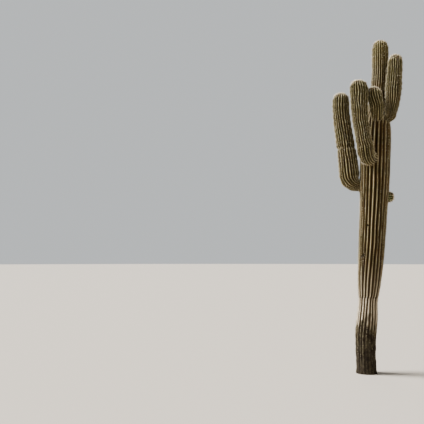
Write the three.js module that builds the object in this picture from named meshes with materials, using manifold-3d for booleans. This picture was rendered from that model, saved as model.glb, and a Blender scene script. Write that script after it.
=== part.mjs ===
import * as THREE from 'three';
import Module from 'manifold-3d';

// A saguaro cactus about six metres tall: one ribbed trunk and main stem, four arms that turn up
// beside it and one young round arm. Millimetres, +Z up. The origin is the middle of the flat cut
// at ground level. +X is the right of the plant's front, and the front faces -Y.

// The trunk by height: the sideways lean of its axis, its radius at the crests and its rib depth.
const HEIGHT = 5985;
const TRUNK_RIBS = 24;
const TRUNK_LEAN = [
  [0, 0], [600, -4], [1000, 31], [1400, 64], [2200, 130], [3300, 203], [4400, 256], [5300, 338],
  [HEIGHT, 358],
];
const TRUNK_RADIUS = [
  [0, 187], [120, 174], [400, 175], [800, 188], [980, 185], [1240, 168], [1560, 201], [2200, 229],
  [3000, 247], [3300, 258], [3700, 266], [4360, 255], [4540, 221], [4720, 182], [4950, 154],
  [5300, 147], [5430, 142], [5570, 147], [5800, 146], [HEIGHT, 146],
];
const TRUNK_RIB_DEPTH = [
  [0, 5], [500, 9], [900, 19], [1500, 27], [2400, 36], [4300, 36], [4900, 24], [HEIGHT, 23],
];
const TRUNK_CROWN = 215;
const TRUNK_RINGS = 25;

// Four ribs of the trunk are late ones: mere seams at the foot, full ribs higher up.
const LATE_RIBS = [2, 8, 14, 20];
const LATE_RIB_START = 1500;
const LATE_RIB_FULL = 2500;
const SEAM_SHARE = 0.14;

// The ribs start this many degrees round from +X. They take a step sideways at a crease in the skin.
const CREASE = 1330;
const CREASE_HALF_WIDTH = 30;
const TURN_BELOW_CREASE = -4.9;
const TURN_ABOVE_CREASE = 3.7;

// Each arm leaves the trunk at neckHeight on its bearing, in degrees from +X towards +Y. Its axis
// runs level to the pivot distance, turns up on the bend radius, and then follows its upright:
// the height, x, y and radius of each station, the last one being the tip. A waist is a height
// where growth paused, with the share of the radius that it takes away.
const ARMS = {
  outer_arm: {
    ribs: 22, ribDepth: 30, bearing: 164, neckHeight: 3323, pivot: 245, bend: 195, crown: 183,
    neckRadius: 86, elbowRadius: 181, rings: 8, waists: [[4023, 0.06], [4712, 0.025]],
    upright: [
      [3831, -236, 170, 173], [4181, -273, 212, 162], [4553, -314, 240, 155],
      [4838, -328, 252, 153], [5070, -319, 255, 151],
    ],
  },
  inner_arm: {
    ribs: 22, ribDepth: 28, bearing: -125, neckHeight: 3789, pivot: 322, bend: 156, crown: 168,
    neckRadius: 130, elbowRadius: 143, rings: 7, waists: [[4190, 0.03], [4850, 0.02]],
    upright: [
      [4104, -83, -395, 132], [4407, -119, -377, 136], [4662, -131, -357, 147],
      [4920, -123, -323, 158], [5149, -133, -298, 154],
    ],
  },
  short_arm: {
    ribs: 17, ribDepth: 22, bearing: -103, neckHeight: 4528, pivot: 238, bend: 122, crown: 110,
    neckRadius: 90, elbowRadius: 118, rings: 3, waists: [[4745, 0.03]],
    upright: [[4800, 158, -330, 120], [4900, 146, -312, 114], [5030, 146, -300, 109]],
  },
  right_arm: {
    ribs: 22, ribDepth: 26, bearing: -54, neckHeight: 4502, pivot: 232, bend: 92, crown: 186,
    neckRadius: 72, elbowRadius: 96, rings: 7, waists: [[5225, 0.02]],
    upright: [
      [4700, 477, -268, 110], [4900, 498, -266, 131], [5030, 508, -264, 138],
      [5270, 526, -262, 132], [5450, 544, -260, 125], [5637, 559, -258, 121],
    ],
  },
};

// The young arm is a ball that bulges from the trunk's right side.
const BUD = {
  ribs: 13, ribDepth: 11, bearing: -14, height: 3096, rise: 14, reach: 338, radius: 88, rings: 4,
  crown: 84, sunk: 70, footShare: 0.5,
};

const POINTS_PER_RIB = 3;
const CREST_SHARPNESS = 0.6;
const CROWN_ROUNDNESS = 2.2;
const CROWN_RINGS = 5;
const ELBOW_RINGS = 6;
const BEND_STEPS = 6;
const PATH_DIVISIONS = 800;

// An arm's axis starts this far before its pivot, inside the trunk. A waist fades over a share of
// the elbow's radius.
const NECK_RUN = 130;
const WAIST_SPREAD = 0.35;

// The gap where pieces meet face to face, and how far the trunk is swelled to trim an arm to it,
// which leaves about the same gap on the slopes of the ribs.
const GAP = 0.3;
const TRIM_SWELL = 0.6;
const SLIVER = 0.02;

const UP = new THREE.Vector3(0, 0, 1);
const wasm = await Module();
wasm.setup();

// A smooth curve through [where, value] pairs.
function through(pairs) {
  const where = pairs.map(([at]) => at);
  const values = pairs.map(([, value]) => value);
  const curve = new THREE.CubicInterpolant(where, values, 1);
  return (at) => curve.evaluate(at)[0];
}

const trunkLean = through(TRUNK_LEAN);
const trunkRadius = through(TRUNK_RADIUS);
const trunkRibDepth = through(TRUNK_RIB_DEPTH);

// The crown closes a stem: its radius falls from full at 0 to nothing at the tip, at 1.
function crownShare(t) {
  return (1 - t ** CROWN_ROUNDNESS) ** (1 / CROWN_ROUNDNESS);
}

// Places along a stem: even rings up to its crown, and then rings that close up towards the tip.
function ringPlaces(start, end, crown, rings) {
  const places = [];
  for (let i = 0; i < rings; i += 1) {
    places.push({ at: start + (end - crown - start) * i / rings, share: 1 });
  }
  for (let i = 0; i < CROWN_RINGS; i += 1) {
    const t = Math.sin(Math.PI / 2 * i / CROWN_RINGS);
    places.push({ at: end - crown * (1 - t), share: crownShare(t) });
  }
  return places;
}

// One cross section: a ring of ribs, each from furrow to crest and back. widths gives each rib's
// part of the circle, and a narrow rib is shallow too.
function ribbedRing({ centre, across, back, radius, depth, widths }) {
  const whole = widths.reduce((sum, width) => sum + width, 0);
  const ring = [];
  let edge = 0;
  for (const width of widths) {
    for (let k = 0; k < POINTS_PER_RIB; k += 1) {
      const along = k / POINTS_PER_RIB;
      const angle = 2 * Math.PI * (edge + width * along) / whole;
      const dip = 1 - Math.sin(Math.PI * along) ** CREST_SHARPNESS;
      const reach = radius - depth * Math.min(1, width) * dip;
      ring.push(centre.clone()
        .addScaledVector(across, reach * Math.cos(angle))
        .addScaledVector(back, reach * Math.sin(angle)));
    }
    edge += width;
  }
  return ring;
}

// A closed skin over rings of equal count, from a middle point of the first ring to a last point.
function skin(first, rings, last) {
  const points = [first, ...rings.flat(), last];
  const count = rings[0].length;
  const triangles = [];
  const at = (ring, i) => 1 + ring * count + (i % count);
  const top = rings.length - 1;
  for (let i = 0; i < count; i += 1) {
    triangles.push(0, at(0, i + 1), at(0, i));
    for (let ring = 0; ring < top; ring += 1) {
      triangles.push(at(ring, i), at(ring, i + 1), at(ring + 1, i + 1));
      triangles.push(at(ring, i), at(ring + 1, i + 1), at(ring + 1, i));
    }
    triangles.push(at(top, i), at(top, i + 1), points.length - 1);
  }
  const geometry = new THREE.BufferGeometry().setFromPoints(points);
  geometry.setIndex(triangles);
  return geometry;
}

function evenRibs(count) {
  return new Array(count).fill(1);
}

function trunkAxis(height) {
  return new THREE.Vector3(trunkLean(height), 0, height);
}

function trunkTurn(height) {
  const low = CREASE - CREASE_HALF_WIDTH;
  const above = THREE.MathUtils.smoothstep(height, low, CREASE + CREASE_HALF_WIDTH);
  return THREE.MathUtils.lerp(TURN_BELOW_CREASE, TURN_ABOVE_CREASE, above);
}

function trunkRibWidths(height) {
  const grown = THREE.MathUtils.smoothstep(height, LATE_RIB_START, LATE_RIB_FULL);
  const widths = evenRibs(TRUNK_RIBS);
  for (const rib of LATE_RIBS) {
    widths[rib] = THREE.MathUtils.lerp(SEAM_SHARE, 1, grown);
  }
  return widths;
}

// The trunk from the flat cut at the ground to the tip of its main stem. swell moves its surface
// out, for trimming the arms that stand on it.
function trunkGeometry(swell) {
  const places = ringPlaces(0, HEIGHT, TRUNK_CROWN, TRUNK_RINGS);
  const rings = places.map(({ at, share }) => ribbedRing({
    centre: trunkAxis(at),
    across: bearingDirection(trunkTurn(at)),
    back: bearingDirection(trunkTurn(at) + 90),
    radius: trunkRadius(at) * share + swell,
    depth: trunkRibDepth(at) * share,
    widths: trunkRibWidths(at),
  }));
  return skin(trunkAxis(0), rings, trunkAxis(HEIGHT));
}

function bearingDirection(degrees) {
  const angle = THREE.MathUtils.degToRad(degrees);
  return new THREE.Vector3(Math.cos(angle), Math.sin(angle), 0);
}

// The axis of an arm, with the length of its neck and bend, and its cross section along the way.
function armAxis(arm) {
  const out = bearingDirection(arm.bearing);
  const pivot = trunkAxis(arm.neckHeight)
    .addScaledVector(out, arm.pivot)
    .addScaledVector(UP, arm.bend);
  const points = [pivot.clone().addScaledVector(UP, -arm.bend).addScaledVector(out, -NECK_RUN)];
  for (let i = 0; i <= BEND_STEPS; i += 1) {
    const turn = Math.PI / 2 * i / BEND_STEPS;
    points.push(pivot.clone()
      .addScaledVector(out, arm.bend * Math.sin(turn))
      .addScaledVector(UP, -arm.bend * Math.cos(turn)));
  }
  for (const [height, x, y] of arm.upright) {
    points.push(new THREE.Vector3(x, y, height));
  }
  const path = new THREE.CatmullRomCurve3(points);
  path.arcLengthDivisions = PATH_DIVISIONS;
  const length = path.getLength();
  const elbowLength = NECK_RUN + arm.bend * Math.PI / 2;
  const uprightRadius = through([
    [path.getPointAt(elbowLength / length).z, arm.elbowRadius],
    ...arm.upright.map(([height, , , radius]) => [height, radius]),
  ]);
  const side = new THREE.Vector3().crossVectors(out, UP);

  function waist(height) {
    const width = arm.elbowRadius * WAIST_SPREAD;
    return arm.waists.reduce(
      (share, [middle, tuck]) => share - tuck * Math.exp(-(((height - middle) / width) ** 2)), 1);
  }

  function section({ at, share }) {
    const centre = path.getPointAt(at / length);
    const tangent = path.getTangentAt(at / length);
    const across = side.clone().addScaledVector(tangent, -side.dot(tangent)).normalize();
    const back = new THREE.Vector3().crossVectors(tangent, across);
    const eased = THREE.MathUtils.smoothstep(at, NECK_RUN / 2, elbowLength);
    const full = at < elbowLength
      ? THREE.MathUtils.lerp(arm.neckRadius, arm.elbowRadius, eased)
      : uprightRadius(centre.z);
    const radius = full * share * waist(centre.z);
    const depth = arm.ribDepth * share * Math.min(1, full / arm.elbowRadius) ** 2;
    return ribbedRing({ centre, across, back, radius, depth, widths: evenRibs(arm.ribs) });
  }

  return { path, length, elbowLength, section };
}

// The elbow: the neck and the swollen bend, up to a flat end where the upright begins.
function elbowGeometry({ path, length, elbowLength, section }) {
  const rings = [];
  for (let i = 0; i <= ELBOW_RINGS; i += 1) {
    rings.push(section({ at: elbowLength * i / ELBOW_RINGS, share: 1 }));
  }
  return skin(path.getPointAt(0), rings, path.getPointAt(elbowLength / length));
}

// The upright: from its flat foot, which lies on the elbow's flat end, to its domed tip.
function uprightGeometry({ path, length, elbowLength, section }, arm) {
  const start = elbowLength / length;
  const lift = path.getTangentAt(start).multiplyScalar(GAP);
  const rings = ringPlaces(elbowLength, length, arm.crown, arm.rings).map(section);
  rings[0].forEach((point) => point.add(lift));
  return skin(path.getPointAt(start).add(lift), rings, path.getPointAt(1));
}

// The young arm: a short ribbed ball on an axis that points out of the trunk and a little up.
function budGeometry(bud) {
  const foot = trunkAxis(bud.height);
  const tip = foot.clone()
    .addScaledVector(bearingDirection(bud.bearing), bud.reach)
    .addScaledVector(UP, bud.rise);
  const axis = tip.clone().sub(foot);
  const length = axis.length();
  const tangent = axis.clone().normalize();
  const across = new THREE.Vector3().crossVectors(tangent, UP).normalize();
  const back = new THREE.Vector3().crossVectors(tangent, across);
  const start = length - bud.radius - bud.sunk;
  const rings = ringPlaces(start, length, bud.crown, bud.rings).map(({ at, share }) => {
    const swelling = THREE.MathUtils.smoothstep(at, start - bud.radius, length - bud.crown);
    return ribbedRing({
      centre: foot.clone().addScaledVector(tangent, at),
      across,
      back,
      radius: bud.radius * share * THREE.MathUtils.lerp(bud.footShare, 1, swelling),
      depth: bud.ribDepth * share,
      widths: evenRibs(bud.ribs),
    });
  });
  return skin(foot.clone().addScaledVector(tangent, start), rings, tip);
}

function solidOf(geometry) {
  return new wasm.Manifold(new wasm.Mesh({
    numProp: 3,
    vertProperties: new Float32Array(geometry.attributes.position.array),
    triVerts: new Uint32Array(geometry.index.array),
  }));
}

// What is left of a piece outside the trunk, with a hair of clearance, so that it sits on the ribs.
const trunkForTrimming = solidOf(trunkGeometry(TRIM_SWELL));
function seatedOnTrunk(geometry) {
  const mesh = solidOf(geometry).subtract(trunkForTrimming).simplify(SLIVER).getMesh();
  const trimmed = new THREE.BufferGeometry();
  trimmed.setAttribute('position', new THREE.BufferAttribute(mesh.vertProperties, 3));
  trimmed.setIndex(new THREE.BufferAttribute(mesh.triVerts, 1));
  return trimmed;
}

const trunkFlesh = new THREE.MeshStandardMaterial({ color: 0x66663f, roughness: 0.85, metalness: 0 });
const armFlesh = new THREE.MeshStandardMaterial({ color: 0x6c7046, roughness: 0.85, metalness: 0 });
const youngFlesh = new THREE.MeshStandardMaterial({ color: 0x5d6a3a, roughness: 0.8, metalness: 0 });

// Each piece keeps its own origin: the trunk's at the ground, an arm's where it leaves the trunk.
function piece(name, geometry, material, origin) {
  geometry.translate(-origin.x, -origin.y, -origin.z);
  geometry.computeVertexNormals();
  const mesh = new THREE.Mesh(geometry, material);
  mesh.name = name;
  mesh.position.copy(origin);
  return mesh;
}

const saguaro = new THREE.Group();
saguaro.add(piece('trunk', trunkGeometry(0), trunkFlesh, new THREE.Vector3()));
for (const [name, arm] of Object.entries(ARMS)) {
  const axis = armAxis(arm);
  const origin = trunkAxis(arm.neckHeight);
  saguaro.add(piece(`${name}_elbow`, seatedOnTrunk(elbowGeometry(axis)), armFlesh, origin));
  saguaro.add(piece(name, seatedOnTrunk(uprightGeometry(axis, arm)), armFlesh, origin));
}
saguaro.add(piece('arm_bud', seatedOnTrunk(budGeometry(BUD)), youngFlesh, trunkAxis(BUD.height)));

export default saguaro;
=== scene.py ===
import math

import bmesh
import bpy
import numpy as np
from mathutils import Matrix, Vector


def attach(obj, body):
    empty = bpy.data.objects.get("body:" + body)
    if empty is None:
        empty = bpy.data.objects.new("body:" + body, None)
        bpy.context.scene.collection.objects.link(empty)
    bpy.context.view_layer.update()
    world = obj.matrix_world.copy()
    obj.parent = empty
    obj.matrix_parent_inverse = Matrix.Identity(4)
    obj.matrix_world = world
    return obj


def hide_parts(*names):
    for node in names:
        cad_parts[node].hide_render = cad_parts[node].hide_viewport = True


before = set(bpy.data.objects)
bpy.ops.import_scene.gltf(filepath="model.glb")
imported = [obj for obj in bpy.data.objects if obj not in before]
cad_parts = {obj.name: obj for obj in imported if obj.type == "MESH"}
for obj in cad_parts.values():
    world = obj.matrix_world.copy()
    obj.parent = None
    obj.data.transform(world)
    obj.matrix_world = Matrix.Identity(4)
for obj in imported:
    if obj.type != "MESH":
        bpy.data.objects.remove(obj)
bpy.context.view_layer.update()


# The view. The photograph was taken from eye level on a slight rise about eleven metres off, with
# the plant at the right of the picture, so the camera stands to its left and looks a little up.
camera = bpy.data.objects.new("camera", bpy.data.cameras.new("camera"))
bpy.context.scene.collection.objects.link(camera)
bpy.context.scene.camera = camera
camera.location = (-2.720, -11.018, 2.054)
camera.rotation_euler = (math.radians(94.09), 0, 0)
camera.data.sensor_width = 36
camera.data.lens = 52.3
camera.data.clip_end = 400


def paint(red, green, blue):
    """A colour from its values on a 0 to 255 screen scale."""
    screen = np.array([red, green, blue]) / 255
    linear = np.where(screen <= 0.04045, screen / 12.92, ((screen + 0.055) / 1.055) ** 2.4)
    return (*linear.tolist(), 1.0)


def add_node(tree, kind, inputs=None, **settings):
    """A shader node with its settings. Each input, by name or number, is a value or an output to link."""
    node = tree.nodes.new(kind)
    for key, value in settings.items():
        setattr(node, key, value)
    for key, value in (inputs or {}).items():
        if isinstance(value, bpy.types.NodeSocket):
            tree.links.new(value, node.inputs[key])
        else:
            node.inputs[key].default_value = value
    return node


def new_material(name):
    """An empty material with its Principled shader already joined to the output."""
    material = bpy.data.materials.new(name)
    material.use_nodes = True
    tree = material.node_tree
    return material, tree, tree.nodes["Principled BSDF"]


# The floor and the light. The floor is plain and pale, and neutral light fills in from all round. A
# wide, soft key light stands high at the plant's left, so the ribs shade gently from left to right.
FLOOR_REACH = 150
bm = bmesh.new()
bmesh.ops.create_circle(bm, cap_ends=True, segments=96, radius=FLOOR_REACH)
floor_mesh = bpy.data.meshes.new("floor")
bm.to_mesh(floor_mesh)
bm.free()
floor = bpy.data.objects.new("floor", floor_mesh)
bpy.context.scene.collection.objects.link(floor)
floor_material, _, floor_shader = new_material("pale_floor")
floor_shader.inputs["Base Color"].default_value = paint(196, 188, 176)
floor_shader.inputs["Roughness"].default_value = 0.95
floor_mesh.materials.append(floor_material)

# What the camera sees behind the plant is pale, while the surround lights it only dimly.
world = bpy.data.worlds.new("pale_surround")
bpy.context.scene.world = world
world.use_nodes = True
tree = world.node_tree
dim = tree.nodes["Background"]
dim.inputs["Color"].default_value = paint(240, 238, 235)
dim.inputs["Strength"].default_value = 0.18
pale = add_node(tree, "ShaderNodeBackground", {"Color": paint(226, 230, 232), "Strength": 0.85})
seen = add_node(tree, "ShaderNodeLightPath").outputs["Is Camera Ray"]
both = add_node(tree, "ShaderNodeMixShader", {0: seen, 1: dim.outputs[0], 2: pale.outputs[0]})
tree.links.new(both.outputs[0], tree.nodes["World Output"].inputs["Surface"])


def add_lamp(name, bearing, height, strength, softness, colour):
    """A distant light that shines from a bearing, in degrees from +X towards +Y, and a height angle."""
    light = bpy.data.lights.new(name, "SUN")
    light.energy = strength
    light.angle = math.radians(softness)
    light.color = colour
    lamp = bpy.data.objects.new(name, light)
    bpy.context.scene.collection.objects.link(lamp)
    turn, rise = math.radians(bearing), math.radians(height)
    towards = Vector((math.cos(turn) * math.cos(rise), math.sin(turn) * math.cos(rise), math.sin(rise)))
    lamp.rotation_euler = towards.to_track_quat("Z", "Y").to_euler()


add_lamp("key_light", bearing=171, height=43, strength=11, softness=30, colour=(1.0, 0.98, 0.95))
add_lamp("back_light", bearing=92, height=26, strength=0.8, softness=40, colour=(1.0, 0.98, 0.95))


# The trunk: one column of green, water-filled flesh over a ring of woody ribs, rooted in the ground.
# Its skin is pleated in ribs that let it swell. The foot is old and corky, and four ribs are late
# ones, mere seams at the foot. The main stem goes on from it to the highest tip.
HEIGHT = 5.985
TRUNK_RIBS = 24
TRUNK_LEAN = [
    (0, 0), (0.6, -0.004), (1.0, 0.031), (1.4, 0.064), (2.2, 0.130), (3.3, 0.203), (4.4, 0.256),
    (5.3, 0.338), (HEIGHT, 0.358),
]
TRUNK_RADIUS = [
    (0, 0.187), (0.12, 0.174), (0.4, 0.175), (0.8, 0.188), (0.98, 0.185), (1.24, 0.168), (1.56, 0.201),
    (2.2, 0.229), (3.0, 0.247), (3.3, 0.258), (3.7, 0.266), (4.36, 0.255), (4.54, 0.221), (4.72, 0.182),
    (4.95, 0.154), (5.3, 0.147), (5.43, 0.142), (5.57, 0.147), (5.8, 0.146), (HEIGHT, 0.146),
]
TRUNK_RIB_DEPTH = [
    (0, 0.008), (0.5, 0.016), (0.9, 0.027), (1.5, 0.031), (2.4, 0.038), (4.3, 0.037), (4.9, 0.022),
    (HEIGHT, 0.020),
]
TRUNK_CROWN = 0.215
LATE_RIBS = [2, 8, 14, 20]
LATE_RIB_START = 1.5
LATE_RIB_FULL = 2.5
SEAM_SHARE = 0.14
CREASE = 1.330
CREASE_HALF_WIDTH = 0.030
TURN_BELOW_CREASE = -0.5
TURN_ABOVE_CREASE = 3.7
CREST_SHARPNESS = 1.15
CROWN_ROUNDNESS = 2.2

# Where the skin's points lie across a rib, from one furrow to the next, closest at the furrow.
RIB_PARTS = np.array([0, 0.09, 0.27, 0.5, 0.73, 0.91])
ROWS_PER_AREOLE = 3
SAMPLE_STEP = 0.004
CROWN_SAMPLES = 90
SAME_POINT = 0.00002
SHARP_EDGE = math.radians(70)

# A pattern of lumps comes round again after this many cells along a stem.
LUMP_ROWS = 997


def smooth_curve(pairs):
    """A smooth line through (place, value) pairs, to be read at an array of places."""
    places, values = np.array(pairs, float).T
    slopes = np.diff(values) / np.diff(places)
    tangents = np.concatenate([slopes[:1], (slopes[1:] + slopes[:-1]) / 2, slopes[-1:]])

    def read(where):
        where = np.asarray(where, float)
        i = np.clip(np.searchsorted(places, where, side="right") - 1, 0, len(places) - 2)
        gap = places[i + 1] - places[i]
        t = (where - places[i]) / gap
        return (
            (1 + 2 * t) * (1 - t) ** 2 * values[i]
            + t * (1 - t) ** 2 * gap * tangents[i]
            + t * t * (3 - 2 * t) * values[i + 1]
            + t * t * (t - 1) * gap * tangents[i + 1]
        )

    return read


def eased(value, low, high):
    """0 below low and 1 above high, with a smooth rise between them."""
    t = np.clip((np.asarray(value, float) - low) / (high - low), 0, 1)
    return t * t * (3 - 2 * t)


def lumps(seed, along, turn, cells):
    """Smooth random values from -1 to 1, with a whole number of cells round the stem."""
    table = np.random.default_rng(seed).uniform(-1, 1, (LUMP_ROWS, cells))
    row, column = np.floor(along).astype(int), np.floor(turn * cells).astype(int)
    a, b = along - row, turn * cells - column
    a, b = a * a * (3 - 2 * a), b * b * (3 - 2 * b)
    row, column = row % LUMP_ROWS, column % cells
    next_row, next_column = (row + 1) % LUMP_ROWS, (column + 1) % cells
    under = table[row, column] * (1 - b) + table[row, next_column] * b
    over = table[next_row, column] * (1 - b) + table[next_row, next_column] * b
    return under * (1 - a) + over * a


def seasons(seed, along, turn, length):
    """From -1 to 1 and back over each year's growth, which the stem shows as a slight swelling."""
    return np.cos(2 * np.pi * (along / length + 0.7 * lumps(seed, along / 0.4, turn, 4)))


def crown_share(t):
    """The crown closes a stem: its radius falls from full at 0 to nothing at the tip, at 1."""
    return (1 - np.clip(t, 0, 1) ** CROWN_ROUNDNESS) ** (1 / CROWN_ROUNDNESS)


def sample_places(length, crown):
    """Close places along a stem, which bunch up over the crown so that its round tip is smooth."""
    stem = np.arange(0, length - crown, SAMPLE_STEP)
    tip = length - crown * (1 - np.sin(np.linspace(0, math.pi / 2, CROWN_SAMPLES)))
    return np.concatenate([stem, tip])


def finish_stem(stem, spacing, waver, seed):
    """Adds the length along the skin, the count of areoles up to each place, and the ribs' edges."""
    at, radius = stem["at"], stem["radius"]
    skin = np.concatenate([[0], np.cumsum(np.hypot(np.diff(at), np.diff(radius)))])
    stem["along"] = skin
    gap = spacing(skin[-1] - skin)
    stem["count"] = np.concatenate([[0], np.cumsum(np.diff(skin) / (gap[1:] + gap[:-1]) * 2)])
    widths = stem["widths"]
    ribs = widths.shape[1]
    edges = np.cumsum(widths, axis=1) / widths.sum(axis=1, keepdims=True)
    edges = np.concatenate([np.zeros((len(at), 1)), edges], axis=1)
    cells = np.arange(ribs) / ribs
    pitch = np.minimum(widths, np.roll(widths, 1, axis=1)) / widths.sum(axis=1, keepdims=True)
    size, length = waver
    drift = size * pitch * lumps(seed, skin[:, None] / length, cells[None, :] + 0 * skin[:, None], ribs)
    edges[:, :-1] += drift
    edges[:, -1] = edges[:, 0] + 1
    stem["edges"] = edges
    stem["ribs"] = ribs
    stem["whole"] = widths.sum(axis=1)
    return stem


def read_stem(stem, along, key, rib=None):
    """One of a stem's measures at each length along the skin."""
    where = np.interp(along, stem["along"], np.arange(len(stem["along"])))
    i = np.minimum(where.astype(int), len(stem["along"]) - 2)
    t = where - i
    if rib is None:
        low, high = stem[key][i], stem[key][i + 1]
    else:
        low, high = stem[key][i, rib], stem[key][i + 1, rib]
    if low.ndim == 2:
        t = t[:, None]
    return low * (1 - t) + high * t


def skin_points(stem, along, rib, part):
    """Points on a stem's skin, with their turn round it from 0 to 1 and how high up the rib they are."""
    low, high = read_stem(stem, along, "edges", rib), read_stem(stem, along, "edges", rib + 1)
    turn = low + (high - low) * part
    width = np.minimum(1, (high - low) * read_stem(stem, along, "whole"))
    rise = np.sin(np.pi * part) ** CREST_SHARPNESS
    share = read_stem(stem, along, "share")
    reach = read_stem(stem, along, "radius") - read_stem(stem, along, "depth") * width * (1 - rise)
    angle = 2 * np.pi * turn
    centre = read_stem(stem, along, "centre")
    outward = (
        read_stem(stem, along, "across") * np.cos(angle)[:, None]
        + read_stem(stem, along, "back") * np.sin(angle)[:, None]
    )
    points = centre + outward * reach[:, None]
    lift, masks = stem["relief"](along, turn, part, rib, points)
    return points + outward * (lift * share)[:, None], turn, rise * width, masks


def tubercles(stem, along, rib, part, size):
    """A slight swelling under each areole. On neighbouring ribs they stand a third of a step apart."""
    beat = np.cos(2 * np.pi * (read_stem(stem, along, "count") - (rib % 3) / 3))
    return size * beat * np.sin(np.pi * part) ** 3


def grow_skin(name, stem):
    """The stem's skin: a grid of squares, rolled round the stem, pleated and closed at both ends."""
    ribs, across = stem["ribs"], len(RIB_PARTS)
    columns = ribs * across
    total = stem["count"][-1]
    rows = int(total * ROWS_PER_AREOLE) + 1
    counts = np.concatenate([[0], np.arange(rows) / ROWS_PER_AREOLE, [total]])
    bm = bmesh.new()
    bm.loops.layers.uv.new("OFBake")
    bmesh.ops.create_grid(bm, x_segments=columns, y_segments=len(counts) - 1, size=0.5, calc_uvs=True)
    mesh = bpy.data.meshes.new(name)
    bm.to_mesh(mesh)
    bm.free()
    row, column = np.divmod(np.arange(len(counts) * (columns + 1)), columns + 1)
    column %= columns
    along = np.interp(counts, stem["count"], stem["along"])[row]
    rib = column // across
    part = RIB_PARTS[column % across]
    points, turn, rise, masks = skin_points(stem, along, rib, part)
    points[row == 0] = stem["centre"][0]
    points[row == len(counts) - 1] = stem["centre"][-1]
    mesh.vertices.foreach_set("co", points.astype(np.float32).ravel())
    tips = {"crest": rise, "newness": eased(stem["along"][-1] - along, 0.9, 0.0), **masks}
    for key, value in tips.items():
        mesh.attributes.new(key, "FLOAT", "POINT").data.foreach_set("value", value.astype(np.float32))
    bm = bmesh.new()
    bm.from_mesh(mesh)
    bmesh.ops.remove_doubles(bm, verts=bm.verts, dist=SAME_POINT)
    bmesh.ops.recalc_face_normals(bm, faces=bm.faces)
    for face in bm.faces:
        face.smooth = True
    for edge in bm.edges:
        edge.smooth = edge.calc_face_angle(0) < SHARP_EDGE
    bm.to_mesh(mesh)
    bm.free()
    piece = bpy.data.objects.new(name, mesh)
    bpy.context.scene.collection.objects.link(piece)
    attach(piece, "root")
    return piece


# The neck of each arm pushes the trunk's skin up in a low collar: its height on the trunk, bearing,
# radius and the collar's rise.
COLLARS = [
    (3.323, 164, 0.086, 0.020), (3.789, -125, 0.128, 0.020), (4.528, -103, 0.089, 0.016),
    (4.502, -54, 0.072, 0.016), (3.096, -14, 0.060, 0.010),
]
COLLAR_SPREAD = 0.045

# Wounds on the trunk's left: the height and bearing of each, its half length, half width and slant.
WOUNDS = [(2.060, -147, 0.060, 0.026, 40), (2.590, -127, 0.034, 0.020, -10)]
WOUND_DEPTH = 0.030
LIP_HEIGHT = 0.002

# The cork of the foot gives way to green skin round the bark top. One rib at the front stands less
# high than its neighbours up to 3 m.
BARK_TOP = 0.85
BARK_FADE = 0.4
FLAT_RIB = 17
FLAT_RIB_DROP = 0.005

# The length of stem from one year's slight swelling to the next, and the swelling under an areole.
TRUNK_YEAR = 0.11
TUBERCLE_RISE = 0.0022


def level_direction(bearing):
    turn = math.radians(bearing)
    return np.array([math.cos(turn), math.sin(turn), 0])


def beside_neck(points, height, bearing):
    """How far points lie from an arm's neck line. Those behind the trunk's middle count as far off."""
    out = level_direction(bearing)
    away = points - np.array([float(trunk_lean(height)), 0, height])
    beside = np.linalg.norm(away - (away @ out)[:, None] * out, axis=1)
    return np.where(away @ out > 0, beside, np.inf)


def trunk_relief(along, turn, part, rib, points):
    """Lumps and swellings of the trunk's skin, with masks for its corky foot and its wounds."""
    height = points[:, 2]
    angle = 2 * np.pi * turn + trunk_turn(height)
    lift = 0.0025 * lumps(11, along / 0.16, turn, 12)
    lift += tubercles(trunk_stem, along, rib, part, TUBERCLE_RISE)
    lift -= FLAT_RIB_DROP * (rib == FLAT_RIB) * (1 - eased(height, 2.85, 3.05)) * np.sin(np.pi * part)
    season = seasons(16, along, turn, TRUNK_YEAR)
    lift += (0.0008 + 0.0012 * eased(height, 4.3, 4.8)) * season * np.sin(np.pi * part)
    patches = 0.14 * lumps(12, along / 0.2, turn, 9) + 0.16 * lumps(19, along / 0.08, turn, 26)
    worn = 1 - eased(height + patches, BARK_TOP - BARK_FADE, BARK_TOP + BARK_FADE)
    ragged_height = height + 0.04 * lumps(18, along / 0.05, turn, 16)
    bleached = 1 - 0.6 * eased(ragged_height, CREASE - 0.05, CREASE + 0.02)
    bleached *= eased(ragged_height, 0.65, 1.0) * (1 - eased(ragged_height, CREASE, CREASE + 0.7))
    crease = np.exp(-(((height - CREASE - 0.008 * lumps(17, along / 0.1, turn, 16)) / 0.012) ** 2))
    lift -= 0.004 * crease
    cork = 0.0045 * lumps(13, along / 0.07, turn, 30) + 0.003 * lumps(14, along / 0.03, turn, 60)
    lift += worn * cork
    for collar_height, bearing, radius, rise in COLLARS:
        beyond = np.maximum(0, beside_neck(points, collar_height, bearing) - radius)
        lift += rise * np.exp(-((beyond / COLLAR_SPREAD) ** 2))
    wound = np.zeros(len(points))
    lip = np.zeros(len(points))
    for wound_height, bearing, half_length, half_width, slant in WOUNDS:
        offset = (angle - math.radians(bearing) + np.pi) % (2 * np.pi) - np.pi
        sideways, upward = offset * read_stem(trunk_stem, along, "radius"), height - wound_height
        tilt = math.radians(slant)
        length = (sideways * math.cos(tilt) + upward * math.sin(tilt)) / half_length
        width = (upward * math.cos(tilt) - sideways * math.sin(tilt)) / half_width
        reach = np.hypot(length, width) + 0.15 * lumps(15, along / 0.012, turn, 90)
        wound = np.maximum(wound, 1 - eased(reach, 0.75, 1.1))
        lip = np.maximum(lip, np.exp(-(((reach - 1.35) / 0.28) ** 2)))
    lift += -WOUND_DEPTH * wound + LIP_HEIGHT * lip
    season = season * eased(height, 3.8, 4.8)
    masks = {"worn": worn, "bleached": bleached, "crease": crease, "wound": wound, "lip": lip}
    return lift, {**masks, "season": season}


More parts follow.
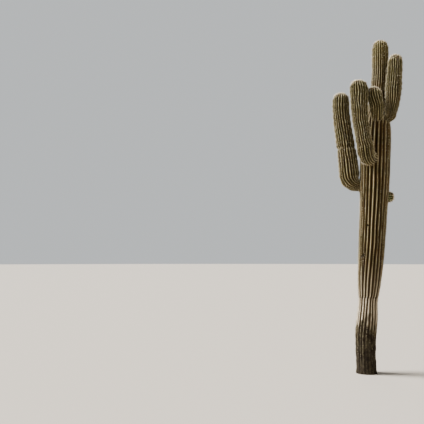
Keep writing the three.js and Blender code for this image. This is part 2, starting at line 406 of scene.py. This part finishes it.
def trunk_turn(height):
    """How far round from +X the ribs start, in radians. They step sideways at a crease in the skin."""
    above = eased(height, CREASE - CREASE_HALF_WIDTH, CREASE + CREASE_HALF_WIDTH)
    return np.radians(TURN_BELOW_CREASE + (TURN_ABOVE_CREASE - TURN_BELOW_CREASE) * above)


trunk_lean = smooth_curve(TRUNK_LEAN)
trunk_at = sample_places(HEIGHT, TRUNK_CROWN)
trunk_share = crown_share((trunk_at - (HEIGHT - TRUNK_CROWN)) / TRUNK_CROWN)
trunk_share = np.where(trunk_at < HEIGHT - TRUNK_CROWN, 1, trunk_share)
trunk_widths = np.ones((len(trunk_at), TRUNK_RIBS))
trunk_widths[:, LATE_RIBS] = (
    SEAM_SHARE + (1 - SEAM_SHARE) * eased(trunk_at, LATE_RIB_START, LATE_RIB_FULL)
)[:, None]
start = trunk_turn(trunk_at)
trunk_stem = {
    "at": trunk_at,
    "share": trunk_share,
    "radius": smooth_curve(TRUNK_RADIUS)(trunk_at) * trunk_share,
    "depth": smooth_curve(TRUNK_RIB_DEPTH)(trunk_at) * trunk_share,
    "centre": np.stack([trunk_lean(trunk_at), 0 * trunk_at, trunk_at], axis=1),
    "across": np.stack([np.cos(start), np.sin(start), 0 * start], axis=1),
    "back": np.stack([-np.sin(start), np.cos(start), 0 * start], axis=1),
    "widths": trunk_widths,
    "relief": trunk_relief,
}


def trunk_spacing(to_tip):
    """The areoles stand closest at the growing tip."""
    return 0.012 + 0.016 * eased(to_tip, 0.02, 0.45) + 0.003 * eased(to_tip, 1.5, 4.0)


finish_stem(trunk_stem, trunk_spacing, waver=(0.10, 0.33), seed=21)


def new_group(name, inputs, outputs):
    """An empty shader node group with its named inputs and outputs."""
    group = bpy.data.node_groups.new(name, "ShaderNodeTree")
    for label, kind, value in inputs:
        socket = group.interface.new_socket(label, in_out="INPUT", socket_type="NodeSocket" + kind)
        if value is not None:
            socket.default_value = value
    for label, kind in outputs:
        group.interface.new_socket(label, in_out="OUTPUT", socket_type="NodeSocket" + kind)
    return group, group.nodes.new("NodeGroupInput").outputs, group.nodes.new("NodeGroupOutput").inputs


def noise(tree, vector, scale, detail=2.0, roughness=0.5, stretch=(1, 1, 1)):
    """A noise mask, with its pattern squeezed by stretch along each axis."""
    mapped = add_node(tree, "ShaderNodeMapping", {"Vector": vector, "Scale": stretch}).outputs[0]
    sockets = {"Vector": mapped, "Scale": scale, "Detail": detail, "Roughness": roughness}
    return add_node(tree, "ShaderNodeTexNoise", sockets).outputs["Fac"]


def ramp(tree, value, low, high):
    """A mask that rises smoothly from 0 at low to 1 at high, or falls where low is the greater."""
    sockets = {"Value": value, "From Min": low, "From Max": high}
    return add_node(tree, "ShaderNodeMapRange", sockets, interpolation_type="SMOOTHSTEP").outputs[0]


def maths(tree, operation, a, b):
    return add_node(tree, "ShaderNodeMath", {0: a, 1: b}, operation=operation).outputs[0]


def mixed(tree, factor, a, b, mode="MIX"):
    """Colour a, going over to colour b as the factor rises."""
    sockets = {0: factor, 6: a, 7: b}
    return add_node(tree, "ShaderNodeMix", sockets, data_type="RGBA", blend_type=mode).outputs[2]


def attribute(tree, name):
    return add_node(tree, "ShaderNodeAttribute", attribute_name=name).outputs["Fac"]


# Waxy flesh: slow changes of colour, small corky flecks, and fine wrinkles that run across the ribs.
waxy_flesh, given, result = new_group(
    "waxy_flesh",
    [("Vector", "Vector", None), ("Flecks", "Float", 0.5)],
    [("Patch", "Float"), ("Band", "Float"), ("Fleck", "Float"), ("Relief", "Float")],
)
tree = waxy_flesh
tree.links.new(ramp(tree, noise(tree, given["Vector"], 5.5, 3), 0.34, 0.66), result["Patch"])
bands = noise(tree, given["Vector"], 9, 2, stretch=(0.5, 0.5, 2.4))
tree.links.new(ramp(tree, bands, 0.4, 0.68), result["Band"])
spots = ramp(tree, noise(tree, given["Vector"], 62, 2, 0.6, stretch=(1, 1, 0.8)), 0.64, 0.72)
cover = ramp(tree, noise(tree, given["Vector"], 7, 2), 0.45, 0.62)
spots = maths(tree, "MULTIPLY", maths(tree, "MULTIPLY", spots, cover), given["Flecks"])
tree.links.new(spots, result["Fleck"])
wrinkles = noise(tree, given["Vector"], 55, 3, 0.6, stretch=(0.5, 0.5, 2.2))
pores = noise(tree, given["Vector"], 420, 1)
tree.links.new(maths(tree, "ADD", wrinkles, maths(tree, "MULTIPLY", pores, 0.25)), result["Relief"])

# Old cork: grey-brown scales, split lengthwise by dark cracks.
old_cork, given, result = new_group(
    "old_cork",
    [("Vector", "Vector", None)],
    [("Scale", "Float"), ("Crack", "Float"), ("Relief", "Float")],
)
tree = old_cork
warp = add_node(tree, "ShaderNodeTexNoise", {"Vector": given["Vector"], "Scale": 14.0, "Detail": 3.0})
pushed = add_node(
    tree, "ShaderNodeMix", {0: 0.16, 4: given["Vector"], 5: warp.outputs["Color"]}, data_type="VECTOR"
).outputs[1]
long_cells = add_node(tree, "ShaderNodeMapping", {"Vector": pushed, "Scale": (1, 1, 0.42)}).outputs[0]
cells = add_node(
    tree, "ShaderNodeTexVoronoi", {"Vector": long_cells, "Scale": 34.0}, feature="DISTANCE_TO_EDGE"
).outputs["Distance"]
crack = ramp(tree, cells, 0.13, 0.0)
grit = noise(tree, given["Vector"], 85, 4, 0.65)
tree.links.new(noise(tree, given["Vector"], 16, 4, 0.6, stretch=(1, 1, 0.5)), result["Scale"])
tree.links.new(crack, result["Crack"])
tree.links.new(maths(tree, "SUBTRACT", grit, maths(tree, "MULTIPLY", crack, 0.8)), result["Relief"])


def skin_material(name, flesh, furrow_dark_and_shade, crest, young, flecks, old=False):
    """A saguaro's skin: olive, pale and dry on the crests, fresh at the tip, painted shade in the
    furrows.
    """
    material, tree, shader = new_material(name)
    place = add_node(tree, "ShaderNodeTexCoord").outputs["Object"]
    sockets = {"Vector": place, "Flecks": flecks}
    waxy = add_node(tree, "ShaderNodeGroup", sockets, node_tree=waxy_flesh).outputs
    rise, newness = attribute(tree, "crest"), attribute(tree, "newness")
    colour = mixed(tree, waxy["Patch"], flesh[0], flesh[1])
    colour = mixed(tree, maths(tree, "MULTIPLY", newness, 0.8), colour, young)
    crest = mixed(tree, newness, crest, paint(212, 198, 152))
    # The furrows' own deeper green, darkened further by painted shade. It is weaker near the trunk's tip.
    furrow_shade = ramp(tree, rise, 0.95, 0.35)
    lighter = maths(tree, "MULTIPLY", newness, 0.4 if old else 0)
    shade = maths(tree, "SUBTRACT", 0.92, lighter)
    colour = mixed(tree, maths(tree, "MULTIPLY", furrow_shade, shade), colour, furrow_dark_and_shade)
    dry = maths(tree, "ADD", maths(tree, "MULTIPLY", waxy["Band"], 0.45), 0.48)
    dry = maths(tree, "ADD", dry, maths(tree, "MULTIPLY", attribute(tree, "season"), 0.12))
    colour = mixed(tree, maths(tree, "MULTIPLY", ramp(tree, rise, 0.89, 1.0), dry), colour, crest)
    colour = mixed(tree, waxy["Fleck"], colour, paint(104, 84, 58))
    rough = maths(tree, "ADD", maths(tree, "MULTIPLY", waxy["Patch"], 0.12), 0.56)
    relief = waxy["Relief"]
    if old:
        cork = add_node(tree, "ShaderNodeGroup", {"Vector": place}, node_tree=old_cork).outputs
        bleached = attribute(tree, "bleached")
        colour = mixed(tree, maths(tree, "MULTIPLY", bleached, 0.25), colour, paint(118, 102, 74))
        pale = maths(tree, "MULTIPLY", ramp(tree, rise, 0.6, 0.95), bleached)
        colour = mixed(tree, maths(tree, "MULTIPLY", pale, 0.85), colour, paint(244, 228, 202))
        bark = mixed(tree, ramp(tree, cork["Scale"], 0.35, 0.65), paint(50, 42, 30), paint(110, 103, 79))
        # Painted shade: the bark's furrows go half way to the dark furrow colour.
        bark = mixed(tree, maths(tree, "MULTIPLY", furrow_shade, 0.5), bark, furrow_dark_and_shade)
        bark = mixed(tree, cork["Crack"], bark, paint(20, 14, 10))
        low = add_node(tree, "ShaderNodeSeparateXYZ", {0: place}).outputs["Z"]
        # The bark grows darker towards the ground.
        bark_darker_low = maths(tree, "MULTIPLY", ramp(tree, low, 0.8, 0.25), 0.6)
        bark = mixed(tree, bark_darker_low, bark, paint(32, 25, 17))
        ragged = maths(tree, "ADD", attribute(tree, "worn"), maths(tree, "MULTIPLY", cork["Scale"], 0.5))
        bare = ramp(tree, ragged, 0.45, 1.0)
        colour = mixed(tree, bare, colour, bark)
        rough = maths(tree, "ADD", rough, maths(tree, "MULTIPLY", bare, 0.3))
        both = add_node(tree, "ShaderNodeMix", {0: bare, 2: relief, 3: cork["Relief"]}, data_type="FLOAT")
        relief = both.outputs[0]
        # Painted shade: a dark line along the crease in the skin.
        crease_shade = maths(tree, "MULTIPLY", attribute(tree, "crease"), 0.4)
        colour = mixed(tree, crease_shade, colour, paint(40, 32, 20))
        healed = maths(tree, "MULTIPLY", attribute(tree, "lip"), 0.3)
        colour = mixed(tree, healed, colour, paint(90, 76, 52))
        wound = attribute(tree, "wound")
        colour = mixed(tree, wound, colour, paint(12, 8, 6))
        rough = maths(tree, "ADD", rough, maths(tree, "MULTIPLY", wound, 0.35))
    tree.links.new(colour, shader.inputs["Base Color"])
    tree.links.new(rough, shader.inputs["Roughness"])
    bump = add_node(tree, "ShaderNodeBump", {"Strength": 0.7, "Distance": 0.004, "Height": relief})
    tree.links.new(bump.outputs["Normal"], shader.inputs["Normal"])
    shader.inputs["IOR"].default_value = 1.3
    return material


trunk_skin = grow_skin("trunk_skin", trunk_stem)
trunk_skin.data.materials.append(skin_material(
    "old_waxy_skin", flesh=(paint(82, 74, 38), paint(96, 79, 43)), furrow_dark_and_shade=paint(40, 23, 7),
    crest=paint(248, 234, 194), young=paint(112, 106, 60), flecks=0.8, old=True,
))
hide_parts("trunk")


# The four arms: stems like the trunk's, each from a neck that comes out between the trunk's ribs,
# through a swollen bend, and up to a round tip. Waists mark the years when growth paused.

# An upright lists each height that it passes, its place to the right and back, and its radius.
ARMS = {
    "outer_arm": {
        "ribs": 22, "rib_depth": 0.033, "bearing": 164, "neck_height": 3.323, "pivot": 0.245,
        "bend": 0.195, "crown": 0.183, "neck_radius": 0.086, "elbow_radius": 0.181, "seed": 31,
        "waists": [(4.023, 0.09), (4.712, 0.03)],
        "upright": [
            (3.831, -0.236, 0.170, 0.173), (4.181, -0.273, 0.212, 0.162),
            (4.553, -0.314, 0.240, 0.155), (4.838, -0.328, 0.252, 0.153),
            (5.070, -0.319, 0.255, 0.151),
        ],
    },
    "inner_arm": {
        "ribs": 22, "rib_depth": 0.032, "bearing": -125, "neck_height": 3.789, "pivot": 0.322,
        "bend": 0.156, "crown": 0.168, "neck_radius": 0.130, "elbow_radius": 0.143, "seed": 32,
        "waists": [(4.190, 0.03), (4.850, 0.02)],
        "upright": [
            (4.104, -0.083, -0.395, 0.132), (4.407, -0.119, -0.377, 0.136),
            (4.662, -0.131, -0.357, 0.147), (4.920, -0.123, -0.323, 0.158),
            (5.149, -0.133, -0.298, 0.154),
        ],
    },
    "short_arm": {
        "ribs": 17, "rib_depth": 0.025, "bearing": -103, "neck_height": 4.528, "pivot": 0.238,
        "bend": 0.122, "crown": 0.110, "neck_radius": 0.090, "elbow_radius": 0.118, "seed": 33,
        "waists": [(4.745, 0.03)],
        "upright": [
            (4.800, 0.158, -0.330, 0.120), (4.900, 0.146, -0.312, 0.114),
            (5.030, 0.146, -0.300, 0.109),
        ],
    },
    "right_arm": {
        "ribs": 22, "rib_depth": 0.030, "bearing": -54, "neck_height": 4.502, "pivot": 0.232,
        "bend": 0.092, "crown": 0.186, "neck_radius": 0.072, "elbow_radius": 0.096, "seed": 34,
        "waists": [(5.225, 0.02)],
        "upright": [
            (4.700, 0.477, -0.268, 0.110), (4.900, 0.498, -0.266, 0.131),
            (5.030, 0.508, -0.264, 0.138), (5.270, 0.526, -0.262, 0.132),
            (5.450, 0.544, -0.260, 0.125), (5.637, 0.559, -0.258, 0.121),
        ],
    },
}
NECK_RUN = 0.130
WAIST_SPREAD = 0.2
ARM_YEAR = 0.105
BEND_STEPS = 6
UP = np.array([0, 0, 1.0])


def unit(vectors):
    return vectors / np.maximum(np.linalg.norm(vectors, axis=-1, keepdims=True), 1e-12)


def curve_through(points, steps=80):
    """A smooth path through points, with its length so far at each of its close points."""
    padded = np.array([2 * points[0] - points[1], *points, 2 * points[-1] - points[-2]])
    close = []
    for before, start, end, after in zip(padded, padded[1:], padded[2:], padded[3:]):
        gap0, gap1, gap2 = (math.sqrt(np.linalg.norm(b - a)) for a, b in
                            ((before, start), (start, end), (end, after)))
        leave = ((start - before) / gap0 - (end - before) / (gap0 + gap1) + (end - start) / gap1) * gap1
        arrive = ((end - start) / gap1 - (after - start) / (gap1 + gap2) + (after - end) / gap2) * gap1
        t = np.linspace(0, 1, steps, endpoint=False)[:, None]
        close.append(
            (1 + 2 * t) * (1 - t) ** 2 * start + t * (1 - t) ** 2 * leave
            + t * t * (3 - 2 * t) * end + t * t * (t - 1) * arrive
        )
    path = np.concatenate([*close, points[-1:]])
    return path, np.concatenate([[0], np.cumsum(np.linalg.norm(np.diff(path, axis=0), axis=1))])


def arm_stem(arm):
    """The arm's axis, frames and cross sections, in the same measures as the trunk's."""
    out = level_direction(arm["bearing"])
    neck = np.array([float(trunk_lean(arm["neck_height"])), 0, arm["neck_height"]])
    pivot = neck + out * arm["pivot"] + UP * arm["bend"]
    turns = [math.pi / 2 * i / BEND_STEPS for i in range(BEND_STEPS + 1)]
    points = [pivot - UP * arm["bend"] - out * NECK_RUN]
    points += [pivot + arm["bend"] * (out * math.sin(t) - UP * math.cos(t)) for t in turns]
    points += [np.array([x, y, height]) for height, x, y, _ in arm["upright"]]
    path, far = curve_through(np.array(points))
    length = far[-1]
    elbow_length = NECK_RUN + arm["bend"] * math.pi / 2
    at = sample_places(length, arm["crown"])
    centre = np.stack([np.interp(at, far, path[:, axis]) for axis in range(3)], axis=1)
    tangent = unit(np.gradient(path, far, axis=0))
    tangent = unit(np.stack([np.interp(at, far, tangent[:, axis]) for axis in range(3)], axis=1))
    side = np.cross(out, UP)
    across = unit(side - tangent * (tangent @ side)[:, None])
    elbow_top = np.interp(elbow_length, far, path[:, 2])
    upright_radius = smooth_curve(
        [(elbow_top, arm["elbow_radius"]), *((height, r) for height, _, _, r in arm["upright"])]
    )
    swell = eased(at, NECK_RUN / 2, elbow_length)
    full = np.where(
        at < elbow_length,
        arm["neck_radius"] + (arm["elbow_radius"] - arm["neck_radius"]) * swell,
        upright_radius(np.maximum(centre[:, 2], elbow_top)),
    )
    waist = np.ones(len(at))
    for middle, tuck in arm["waists"]:
        waist -= tuck * np.exp(-(((centre[:, 2] - middle) / (arm["elbow_radius"] * WAIST_SPREAD)) ** 2))
    crowned = (at - length + arm["crown"]) / arm["crown"]
    share = np.where(at < length - arm["crown"], 1, crown_share(crowned))
    stem = {
        "at": at,
        "share": share,
        "radius": full * share * waist,
        "depth": arm["rib_depth"] * share * np.minimum(1, full / arm["elbow_radius"]) ** 2,
        "centre": centre,
        "across": across,
        "back": np.cross(tangent, across),
        "widths": np.ones((len(at), arm["ribs"])),
    }

    def relief(along, turn, part, rib, points):
        season = seasons(arm["seed"] + 20, along, turn, ARM_YEAR)
        lift = 0.0025 * lumps(arm["seed"] + 10, along / 0.15, turn, 9)
        lift += 0.004 * season * np.sin(np.pi * part)
        return lift + tubercles(stem, along, rib, part, TUBERCLE_RISE), {"season": season}

    stem["relief"] = relief
    return stem


def arm_spacing(to_tip):
    return 0.011 + 0.014 * eased(to_tip, 0.02, 0.35)


arm_material = skin_material(
    "arm_waxy_skin", flesh=(paint(80, 76, 40), paint(94, 82, 45)), furrow_dark_and_shade=paint(34, 21, 7),
    crest=paint(228, 214, 168), young=paint(90, 88, 46), flecks=0.5,
)
stems = {"trunk": trunk_stem}
for name, arm in ARMS.items():
    stems[name] = finish_stem(arm_stem(arm), arm_spacing, waver=(0.20, 0.17), seed=arm["seed"])
    arm_skin = grow_skin(f"{name}_skin", stems[name])
    arm_skin.data.materials.append(arm_material)
    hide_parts(f"{name}_elbow", name)


# The young arm: a ribbed ball of new growth that bulges from the trunk's right side, fresher green
# than the rest and thick with spines.
BUD = {
    "ribs": 13, "rib_depth": 0.011, "bearing": -14, "height": 3.096, "rise": 0.014, "reach": 0.338,
    "radius": 0.088, "crown": 0.084, "sunk": 0.070, "foot_share": 0.5,
}


def bud_stem(bud):
    """The young arm's short axis, which points out of the trunk and a little up."""
    foot = np.array([float(trunk_lean(bud["height"])), 0, bud["height"]])
    axis = level_direction(bud["bearing"]) * bud["reach"] + UP * bud["rise"]
    length = np.linalg.norm(axis)
    tangent = axis / length
    start = length - bud["radius"] - bud["sunk"]
    at = start + sample_places(length - start, bud["crown"])
    crowned = (at - length + bud["crown"]) / bud["crown"]
    share = np.where(at < length - bud["crown"], 1, crown_share(crowned))
    swelling = eased(at, start - bud["radius"], length - bud["crown"])
    across = unit(np.cross(tangent, UP))
    stem = {
        "at": at,
        "share": share,
        "radius": bud["radius"] * share * (bud["foot_share"] + (1 - bud["foot_share"]) * swelling),
        "depth": bud["rib_depth"] * share,
        "centre": foot + tangent * at[:, None],
        "across": np.tile(across, (len(at), 1)),
        "back": np.tile(np.cross(tangent, across), (len(at), 1)),
        "widths": np.ones((len(at), bud["ribs"])),
    }

    def relief(along, turn, part, rib, points):
        return tubercles(stem, along, rib, part, 0.0015), {"season": np.zeros(len(points))}

    stem["relief"] = relief
    return stem


def bud_spacing(to_tip):
    return 0.009 + 0.008 * eased(to_tip, 0.02, 0.2)


stems["arm_bud"] = finish_stem(bud_stem(BUD), bud_spacing, waver=(0.08, 0.1), seed=41)
bud_skin = grow_skin("arm_bud_skin", stems["arm_bud"])
bud_skin.data.materials.append(skin_material(
    "young_waxy_skin", flesh=(paint(82, 90, 46), paint(92, 96, 52)), furrow_dark_and_shade=paint(42, 42, 20),
    crest=paint(136, 130, 84), young=paint(86, 98, 48), flecks=0.1,
))
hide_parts("arm_bud")


# The areoles: a pad of grey felt every couple of centimetres along each rib's crest, from which the
# spines grow. They stand closest at the tips, and the old foot of the trunk has shed most of them.
PAD_CORNERS = 5
PAD_RADIUS = 0.0045
PAD_HEIGHT = 0.0035


def areole_frames(stem, seed, shed=None):
    """Each areole's place, with the directions beside the rib, along it and out of it, and its age."""
    rng = np.random.default_rng(seed)
    total = stem["count"][-1]
    found = [(np.arange(1 + (i % 3) / 3, total - 0.4, 1), i) for i in range(stem["ribs"])]
    counts = np.concatenate([c for c, _ in found])
    rib = np.concatenate([np.full(len(c), i) for c, i in found])
    along = np.interp(counts, stem["count"], stem["along"])
    middle = np.full(len(along), 0.5)
    points, turn, width, masks = skin_points(stem, along, rib, middle)
    ahead = skin_points(stem, np.minimum(along + 0.003, stem["along"][-1] - 1e-4), rib, middle)[0]
    behind = skin_points(stem, along - 0.003, rib, middle)[0]
    angle = 2 * np.pi * turn[:, None]
    side = read_stem(stem, along, "back") * np.cos(angle)
    side -= read_stem(stem, along, "across") * np.sin(angle)
    upward = ahead - behind
    upward = unit(upward - side * (upward * side).sum(axis=1, keepdims=True))
    pitch = 2 * np.pi * read_stem(stem, along, "radius") / stem["ribs"]
    # Where the ribs crowd together only every second one bears areoles, and a mere seam bears none.
    keep = (pitch > 0.006) & ((pitch > 0.012) | (rib % 2 == 0)) & (width > 0.45)
    if shed is not None:
        keep &= rng.uniform(size=len(along)) > shed(points[:, 2])
    if stem is not trunk_stem:
        lean = np.stack([trunk_lean(points[:, 2]), 0 * points[:, 2]], axis=1)
        radius = smooth_curve(TRUNK_RADIUS)(np.clip(points[:, 2], 0, HEIGHT))
        keep &= np.linalg.norm(points[:, :2] - lean, axis=1) > radius - 0.004
    else:
        for collar_height, bearing, radius, _ in COLLARS:
            keep &= beside_neck(points, collar_height, bearing) >= radius
    frames = np.stack([side, upward, np.cross(side, upward)], axis=2)
    to_tip = stem["along"][-1] - along
    return {
        "at": points[keep], "frame": frames[keep], "to_tip": to_tip[keep], "pitch": pitch[keep],
        "season": masks["season"][keep], "rng": rng,
    }


def scatter(name, stamps, areoles, chosen, size, tints, materials):
    """Copies of small meshes, each on its areole, joined in one piece. Its tint picks its colour."""
    points, triangles, colours = [], [], []
    so_far = 0
    for index, stamp in enumerate(stamps):
        on = chosen == index
        if not on.any():
            continue
        local = stamp["points"][None] * size[on][:, None, None]
        placed = np.einsum("nij,nkj->nki", areoles["frame"][on], local) + areoles["at"][on][:, None]
        count, corners = on.sum(), len(stamp["points"])
        starts = so_far + corners * np.arange(count)
        points.append(placed.reshape(-1, 3))
        triangles.append((stamp["triangles"][None] + starts[:, None, None]).reshape(-1, 3))
        colours.append(np.repeat(tints[on], len(stamp["triangles"])))
        so_far += count * corners
    points, triangles, colours = (np.concatenate(x) for x in (points, triangles, colours))
    points[:, 2] = np.maximum(points[:, 2], 0)
    mesh = bpy.data.meshes.new(name)
    mesh.vertices.add(len(points))
    mesh.vertices.foreach_set("co", points.astype(np.float32).ravel())
    mesh.loops.add(3 * len(triangles))
    mesh.loops.foreach_set("vertex_index", triangles.astype(np.int32).ravel())
    mesh.polygons.add(len(triangles))
    mesh.polygons.foreach_set("loop_start", np.arange(0, 3 * len(triangles), 3, dtype=np.int32))
    mesh.polygons.foreach_set("material_index", colours.astype(np.int32))
    mesh.update(calc_edges=True)
    for material in materials:
        mesh.materials.append(material)
    piece = bpy.data.objects.new(name, mesh)
    bpy.context.scene.collection.objects.link(piece)
    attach(piece, "root")
    return piece


def as_stamp(bm):
    """A bmesh as plain arrays, for scatter."""
    bmesh.ops.triangulate(bm, faces=bm.faces)
    bmesh.ops.recalc_face_normals(bm, faces=bm.faces)
    stamp = {
        "points": np.array([v.co[:] for v in bm.verts]),
        "triangles": np.array([[v.index for v in f.verts] for f in bm.faces]),
    }
    bm.free()
    return stamp


def felt_pad():
    """A low oval mound."""
    bm = bmesh.new()
    bmesh.ops.create_cone(
        bm, cap_ends=True, segments=PAD_CORNERS, radius1=PAD_RADIUS, radius2=0, depth=PAD_HEIGHT
    )
    bmesh.ops.scale(bm, vec=(1, 1.35, 1), verts=bm.verts)
    bmesh.ops.translate(bm, vec=(0, 0, 0.0012), verts=bm.verts)
    return as_stamp(bm)


def plain(name, colour, roughness):
    """A single colour, for pieces too small to show any pattern."""
    material, _, shader = new_material(name)
    shader.inputs["Base Color"].default_value = colour
    shader.inputs["Roughness"].default_value = roughness
    return material


felt_tints = [
    plain("grey_felt", paint(128, 118, 96), 0.95),
    plain("pale_felt", paint(158, 146, 118), 0.95),
]
pad = felt_pad()


def foot_shedding(height):
    """The share of its areoles that the trunk has lost at each height."""
    return 0.15 + 0.8 * (1 - eased(height, 0.25, 1.5))


areoles = {}
for index, (name, stem) in enumerate(stems.items()):
    areoles[name] = areole_frames(stem, 60 + index, foot_shedding if name == "trunk" else None)
    group = areoles[name]
    count = len(group["at"])
    size = np.clip(group["pitch"] / 0.03, 0.45, 1.0) * group["rng"].uniform(0.8, 1.15, count)
    tints = group["rng"].integers(0, 2, count)
    scatter(f"{name}_felt", [pad], group, np.zeros(count, int), size, tints, felt_tints)


# The spines: stiff, sharp, grey on old growth, straw and cream on the stems, gold and rust at the
# tips. Radial ones lie close over the skin, and longer central ones stand out from it.
SPINE_BASE = 0.0010


def spine_cluster(seed, radial, central, lie, stand, lengths):
    """One areole's spines, as thin three-sided spikes. Angles are from straight out, in degrees."""
    rng = np.random.default_rng(seed)
    bm = bmesh.new()
    for i in range(radial + central):
        outer = i < radial
        spin = (i + rng.uniform(-0.3, 0.3)) * 360 / radial if outer else rng.uniform(-200, 20)
        tilt = rng.uniform(*(lie if outer else stand))
        length = rng.uniform(*(lengths[0] if outer else lengths[1]))
        base = SPINE_BASE * (1 if outer else 1.25)
        made = bmesh.ops.create_cone(bm, cap_ends=True, segments=3, radius1=base, radius2=0, depth=length)
        turned = (
            Matrix.Rotation(math.radians(spin - 90), 4, "Z")
            @ Matrix.Rotation(math.radians(tilt), 4, "X")
            @ Matrix.Translation((0, 0, length / 2 + 0.001))
        )
        bmesh.ops.transform(bm, matrix=turned, verts=made["verts"])
    return as_stamp(bm)


stem_clusters = [
    spine_cluster(seed, 8, 4, (50, 78), (4, 34), ((0.006, 0.010), (0.013, 0.022)))
    for seed in range(70, 76)
]
tip_clusters = [
    spine_cluster(seed, 10, 7, (35, 66), (4, 34), ((0.011, 0.018), (0.018, 0.030)))
    for seed in range(76, 82)
]
old_clusters = [
    spine_cluster(seed, 6, 2, (60, 86), (25, 60), ((0.008, 0.015), (0.012, 0.024)))
    for seed in range(82, 86)
]
stem_tints = [
    plain("straw_spine", paint(222, 206, 164), 0.7),
    plain("cream_spine", paint(242, 232, 204), 0.7),
    plain("grey_spine", paint(176, 164, 138), 0.75),
]
tip_tints = [
    plain("gold_spine", paint(244, 232, 196), 0.7),
    stem_tints[1],
    plain("rust_spine", paint(140, 98, 62), 0.7),
]
old_tints = [
    stem_tints[2],
    plain("dead_spine", paint(104, 94, 78), 0.8),
    plain("bleached_spine", paint(172, 162, 140), 0.8),
]
OLD_GROWTH_TOP = 1.9
TRUNK_SPINE_SPLIT = 3.3
TIP_REACH = 0.17
TINT_SHARES = [0.42, 0.36, 0.22]


def part_of(group, on):
    """The chosen areoles of a group."""
    return {key: value[on] if key != "rng" else value for key, value in group.items()}


def grow_spines(name, group, clusters, tint_materials, size_range):
    """Spines on every areole of the group, each with its own cluster, size and tint."""
    count = len(group["at"])
    rng = group["rng"]
    chosen = rng.integers(0, len(clusters), count)
    size = rng.uniform(*size_range, count) * np.clip(group["pitch"] / 0.02, 0.6, 1)
    size *= 0.9 + 0.12 * group["season"]
    tints = rng.choice(len(TINT_SHARES), count, p=TINT_SHARES)
    return scatter(name, clusters, group, chosen, size, tints, tint_materials)


for name, group in areoles.items():
    at_tip = group["to_tip"] < TIP_REACH
    grow_spines(f"{name}_tip_spines", part_of(group, at_tip), tip_clusters, tip_tints, (0.8, 1.1))
    height = group["at"][:, 2]
    if name == "trunk":
        old = height < OLD_GROWTH_TOP
        low = ~old & (height < TRUNK_SPINE_SPLIT)
        grow_spines("trunk_old_spines", part_of(group, old), old_clusters, old_tints, (0.8, 1.15))
        grow_spines("trunk_lower_spines", part_of(group, low), stem_clusters, stem_tints, (0.8, 1.15))
        rest = ~at_tip & (height >= TRUNK_SPINE_SPLIT)
        grow_spines("trunk_upper_spines", part_of(group, rest), stem_clusters, stem_tints, (0.8, 1.15))
    elif not at_tip.all():
        grow_spines(f"{name}_spines", part_of(group, ~at_tip), stem_clusters, stem_tints, (0.8, 1.15))


# The growing tips: each stem ends in a small cap of pale wool, out of which the newest spines come.
WOOL_TUFTS = 26
WOOL_REACH = 0.022
WOOL_TURN = math.radians(137.5)


def wool_tuft(seed):
    """A few short soft hairs."""
    return spine_cluster(seed, 4, 2, (20, 50), (0, 20), ((0.006, 0.010), (0.008, 0.012)))


tufts = [wool_tuft(seed) for seed in range(90, 94)]
wool_tints = [
    plain("cream_wool", paint(214, 202, 168), 0.95),
    plain("tan_wool", paint(184, 164, 120), 0.95),
]
tips = {"at": [], "frame": []}
for name, stem in stems.items():
    tip, below = stem["centre"][-1], stem["centre"][-CROWN_SAMPLES]
    out = unit(tip - below)
    side, back = stem["across"][-1], stem["back"][-1]
    for i in range(WOOL_TUFTS):
        distance = WOOL_REACH * math.sqrt((i + 0.5) / WOOL_TUFTS)
        turn = WOOL_TURN * i
        sideways = side * math.cos(turn) + back * math.sin(turn)
        drop = stem["radius"].max() * (1 - math.sqrt(1 - (distance / stem["radius"].max()) ** 2))
        tips["at"].append(tip + sideways * distance - out * drop)
        tips["frame"].append(np.stack([side, back, out], axis=1))
tips = {"at": np.array(tips["at"]), "frame": np.array(tips["frame"])}
tips_rng = np.random.default_rng(95)
tip_count = len(tips["at"])
scatter(
    "tip_wool", tufts, tips, tips_rng.integers(0, 4, tip_count), tips_rng.uniform(0.9, 1.4, tip_count),
    tips_rng.integers(0, 2, tip_count), wool_tints,
)
